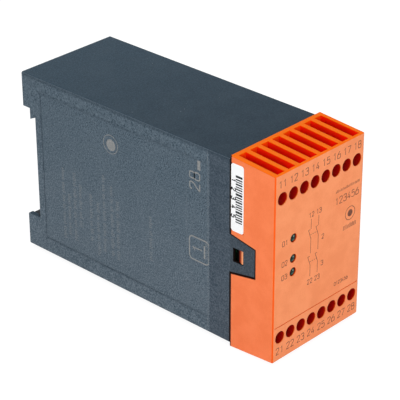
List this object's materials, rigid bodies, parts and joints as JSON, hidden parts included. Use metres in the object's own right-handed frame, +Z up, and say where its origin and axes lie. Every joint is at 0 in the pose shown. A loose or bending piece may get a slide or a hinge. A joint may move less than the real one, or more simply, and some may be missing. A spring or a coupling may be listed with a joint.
{
  "type": "safety relay",
  "caption": "Safety relay in a narrow housing for a 35 mm rail: grey body, orange front cap with wire slots, captive terminal screws, rising clamps, indicators and a sprung rail foot.",
  "frame": {"origin": "bottom centre of the whole relay's box, under the middle of its depth", "axes": "+Z up, the front with the terminal screws looks along -Y, the rail recess along +Y, +X to the right seen from the front"},
  "size_m": [0.045, 0.121, 0.073],
  "materials": {
    "cap_plastic": "fine satin moulding, orange",
    "body_plastic": "fine spark texture, dark grey",
    "foot_plastic": "satin moulding, grey",
    "label": "white film",
    "steel": "zinc plated",
    "spring_steel": "bright rolled",
    "bar_metal": "tinned",
    "carrier_plastic": "moulded, black",
    "board": "solder mask over laminate",
    "header_plastic": "moulded, black",
    "relay_case": "moulded case, light",
    "core_iron": "varnished laminations",
    "coil_tape": "taped winding",
    "capacitor_sleeve": "shrink sleeve",
    "varistor_coat": "dipped coating",
    "chip_case": "moulded, black",
    "led_lens": "tinted lens"
  },
  "bodies": {
    "relay_base": {"front_cap": "cap_plastic", "label_strip": "label", "housing": "body_plastic", "foot_spring": "spring_steel", "terminal_carrier_upper": "carrier_plastic", "terminal_bars_upper": "bar_metal", "terminal_carrier_lower": "carrier_plastic", "terminal_bars_lower": "bar_metal", "front_board": "board", "relay_board": "board", "supply_board": "board", "relay_header": "header_plastic", "supply_header": "header_plastic", "led_power": "led_lens", "led_channel_one": "led_lens", "led_channel_two": "led_lens", "led_holder": "header_plastic", "relay_1": "relay_case", "relay_2": "relay_case", "relay_3": "relay_case", "transformer_core": "core_iron", "transformer_coil": "coil_tape", "capacitor_1": "capacitor_sleeve", "capacitor_2": "capacitor_sleeve", "varistor": "varistor_coat", "control_chips": "chip_case"},
    "foot_slider": {"rail_foot": "foot_plastic"},
    "screw_upper_1_body": {"screw_upper_1": "steel"},
    "clamp_upper_1_body": {"clamp_upper_1": "steel"},
    "screw_upper_2_body": {"screw_upper_2": "steel"},
    "clamp_upper_2_body": {"clamp_upper_2": "steel"},
    "screw_upper_3_body": {"screw_upper_3": "steel"},
    "clamp_upper_3_body": {"clamp_upper_3": "steel"},
    "screw_upper_4_body": {"screw_upper_4": "steel"},
    "clamp_upper_4_body": {"clamp_upper_4": "steel"},
    "screw_upper_5_body": {"screw_upper_5": "steel"},
    "clamp_upper_5_body": {"clamp_upper_5": "steel"},
    "screw_upper_6_body": {"screw_upper_6": "steel"},
    "clamp_upper_6_body": {"clamp_upper_6": "steel"},
    "screw_upper_7_body": {"screw_upper_7": "steel"},
    "clamp_upper_7_body": {"clamp_upper_7": "steel"},
    "screw_upper_8_body": {"screw_upper_8": "steel"},
    "clamp_upper_8_body": {"clamp_upper_8": "steel"},
    "screw_lower_1_body": {"screw_lower_1": "steel"},
    "clamp_lower_1_body": {"clamp_lower_1": "steel"},
    "screw_lower_2_body": {"screw_lower_2": "steel"},
    "clamp_lower_2_body": {"clamp_lower_2": "steel"},
    "screw_lower_3_body": {"screw_lower_3": "steel"},
    "clamp_lower_3_body": {"clamp_lower_3": "steel"},
    "screw_lower_4_body": {"screw_lower_4": "steel"},
    "clamp_lower_4_body": {"clamp_lower_4": "steel"},
    "screw_lower_5_body": {"screw_lower_5": "steel"},
    "clamp_lower_5_body": {"clamp_lower_5": "steel"},
    "screw_lower_6_body": {"screw_lower_6": "steel"},
    "clamp_lower_6_body": {"clamp_lower_6": "steel"},
    "screw_lower_7_body": {"screw_lower_7": "steel"},
    "clamp_lower_7_body": {"clamp_lower_7": "steel"},
    "screw_lower_8_body": {"screw_lower_8": "steel"},
    "clamp_lower_8_body": {"clamp_lower_8": "steel"}
  },
  "joints": [
    {"name": "foot_slide", "type": "slide", "parent": "relay_base", "child": "foot_slider", "axis": [0, 0, -1], "range_m": [0, 0.003], "stiffness_N_per_m": 1500, "springref_m": -0.002, "deforming": ["foot_spring"]},
    {"name": "turn_upper_1", "type": "hinge", "parent": "relay_base", "child": "screw_upper_1_body", "pos_m": [-0.0189, -0.0546, 0.0627], "axis": [0, 1, 0], "range_deg": [0, 2160]},
    {"name": "draw_upper_1", "type": "slide", "parent": "relay_base", "child": "clamp_upper_1_body", "axis": [0, -1, 0], "range_m": [0, 0.003]},
    {"name": "turn_upper_2", "type": "hinge", "parent": "relay_base", "child": "screw_upper_2_body", "pos_m": [-0.0135, -0.0546, 0.0627], "axis": [0, 1, 0], "range_deg": [0, 2160]},
    {"name": "draw_upper_2", "type": "slide", "parent": "relay_base", "child": "clamp_upper_2_body", "axis": [0, -1, 0], "range_m": [0, 0.003]},
    {"name": "turn_upper_3", "type": "hinge", "parent": "relay_base", "child": "screw_upper_3_body", "pos_m": [-0.0081, -0.0546, 0.0627], "axis": [0, 1, 0], "range_deg": [0, 2160]},
    {"name": "draw_upper_3", "type": "slide", "parent": "relay_base", "child": "clamp_upper_3_body", "axis": [0, -1, 0], "range_m": [0, 0.003]},
    {"name": "turn_upper_4", "type": "hinge", "parent": "relay_base", "child": "screw_upper_4_body", "pos_m": [-0.0027, -0.0546, 0.0627], "axis": [0, 1, 0], "range_deg": [0, 2160]},
    {"name": "draw_upper_4", "type": "slide", "parent": "relay_base", "child": "clamp_upper_4_body", "axis": [0, -1, 0], "range_m": [0, 0.003]},
    {"name": "turn_upper_5", "type": "hinge", "parent": "relay_base", "child": "screw_upper_5_body", "pos_m": [0.0027, -0.0546, 0.0627], "axis": [0, 1, 0], "range_deg": [0, 2160]},
    {"name": "draw_upper_5", "type": "slide", "parent": "relay_base", "child": "clamp_upper_5_body", "axis": [0, -1, 0], "range_m": [0, 0.003]},
    {"name": "turn_upper_6", "type": "hinge", "parent": "relay_base", "child": "screw_upper_6_body", "pos_m": [0.0081, -0.0546, 0.0627], "axis": [0, 1, 0], "range_deg": [0, 2160]},
    {"name": "draw_upper_6", "type": "slide", "parent": "relay_base", "child": "clamp_upper_6_body", "axis": [0, -1, 0], "range_m": [0, 0.003]},
    {"name": "turn_upper_7", "type": "hinge", "parent": "relay_base", "child": "screw_upper_7_body", "pos_m": [0.0135, -0.0546, 0.0627], "axis": [0, 1, 0], "range_deg": [0, 2160]},
    {"name": "draw_upper_7", "type": "slide", "parent": "relay_base", "child": "clamp_upper_7_body", "axis": [0, -1, 0], "range_m": [0, 0.003]},
    {"name": "turn_upper_8", "type": "hinge", "parent": "relay_base", "child": "screw_upper_8_body", "pos_m": [0.0189, -0.0546, 0.0627], "axis": [0, 1, 0], "range_deg": [0, 2160]},
    {"name": "draw_upper_8", "type": "slide", "parent": "relay_base", "child": "clamp_upper_8_body", "axis": [0, -1, 0], "range_m": [0, 0.003]},
    {"name": "turn_lower_1", "type": "hinge", "parent": "relay_base", "child": "screw_lower_1_body", "pos_m": [-0.0189, -0.0546, 0.0103], "axis": [0, 1, 0], "range_deg": [0, 2160]},
    {"name": "draw_lower_1", "type": "slide", "parent": "relay_base", "child": "clamp_lower_1_body", "axis": [0, -1, 0], "range_m": [0, 0.003]},
    {"name": "turn_lower_2", "type": "hinge", "parent": "relay_base", "child": "screw_lower_2_body", "pos_m": [-0.0135, -0.0546, 0.0103], "axis": [0, 1, 0], "range_deg": [0, 2160]},
    {"name": "draw_lower_2", "type": "slide", "parent": "relay_base", "child": "clamp_lower_2_body", "axis": [0, -1, 0], "range_m": [0, 0.003]},
    {"name": "turn_lower_3", "type": "hinge", "parent": "relay_base", "child": "screw_lower_3_body", "pos_m": [-0.0081, -0.0546, 0.0103], "axis": [0, 1, 0], "range_deg": [0, 2160]},
    {"name": "draw_lower_3", "type": "slide", "parent": "relay_base", "child": "clamp_lower_3_body", "axis": [0, -1, 0], "range_m": [0, 0.003]},
    {"name": "turn_lower_4", "type": "hinge", "parent": "relay_base", "child": "screw_lower_4_body", "pos_m": [-0.0027, -0.0546, 0.0103], "axis": [0, 1, 0], "range_deg": [0, 2160]},
    {"name": "draw_lower_4", "type": "slide", "parent": "relay_base", "child": "clamp_lower_4_body", "axis": [0, -1, 0], "range_m": [0, 0.003]},
    {"name": "turn_lower_5", "type": "hinge", "parent": "relay_base", "child": "screw_lower_5_body", "pos_m": [0.0027, -0.0546, 0.0103], "axis": [0, 1, 0], "range_deg": [0, 2160]},
    {"name": "draw_lower_5", "type": "slide", "parent": "relay_base", "child": "clamp_lower_5_body", "axis": [0, -1, 0], "range_m": [0, 0.003]},
    {"name": "turn_lower_6", "type": "hinge", "parent": "relay_base", "child": "screw_lower_6_body", "pos_m": [0.0081, -0.0546, 0.0103], "axis": [0, 1, 0], "range_deg": [0, 2160]},
    {"name": "draw_lower_6", "type": "slide", "parent": "relay_base", "child": "clamp_lower_6_body", "axis": [0, -1, 0], "range_m": [0, 0.003]},
    {"name": "turn_lower_7", "type": "hinge", "parent": "relay_base", "child": "screw_lower_7_body", "pos_m": [0.0135, -0.0546, 0.0103], "axis": [0, 1, 0], "range_deg": [0, 2160]},
    {"name": "draw_lower_7", "type": "slide", "parent": "relay_base", "child": "clamp_lower_7_body", "axis": [0, -1, 0], "range_m": [0, 0.003]},
    {"name": "turn_lower_8", "type": "hinge", "parent": "relay_base", "child": "screw_lower_8_body", "pos_m": [0.0189, -0.0546, 0.0103], "axis": [0, 1, 0], "range_deg": [0, 2160]},
    {"name": "draw_lower_8", "type": "slide", "parent": "relay_base", "child": "clamp_lower_8_body", "axis": [0, -1, 0], "range_m": [0, 0.003]}
  ],
  "couplings": [
    {"joint": "turn_upper_1", "follows": "draw_upper_1", "rad_per_m": 12566},
    {"joint": "turn_upper_2", "follows": "draw_upper_2", "rad_per_m": 12566},
    {"joint": "turn_upper_3", "follows": "draw_upper_3", "rad_per_m": 12566},
    {"joint": "turn_upper_4", "follows": "draw_upper_4", "rad_per_m": 12566},
    {"joint": "turn_upper_5", "follows": "draw_upper_5", "rad_per_m": 12566},
    {"joint": "turn_upper_6", "follows": "draw_upper_6", "rad_per_m": 12566},
    {"joint": "turn_upper_7", "follows": "draw_upper_7", "rad_per_m": 12566},
    {"joint": "turn_upper_8", "follows": "draw_upper_8", "rad_per_m": 12566},
    {"joint": "turn_lower_1", "follows": "draw_lower_1", "rad_per_m": 12566},
    {"joint": "turn_lower_2", "follows": "draw_lower_2", "rad_per_m": 12566},
    {"joint": "turn_lower_3", "follows": "draw_lower_3", "rad_per_m": 12566},
    {"joint": "turn_lower_4", "follows": "draw_lower_4", "rad_per_m": 12566},
    {"joint": "turn_lower_5", "follows": "draw_lower_5", "rad_per_m": 12566},
    {"joint": "turn_lower_6", "follows": "draw_lower_6", "rad_per_m": 12566},
    {"joint": "turn_lower_7", "follows": "draw_lower_7", "rad_per_m": 12566},
    {"joint": "turn_lower_8", "follows": "draw_lower_8", "rad_per_m": 12566}
  ]
}
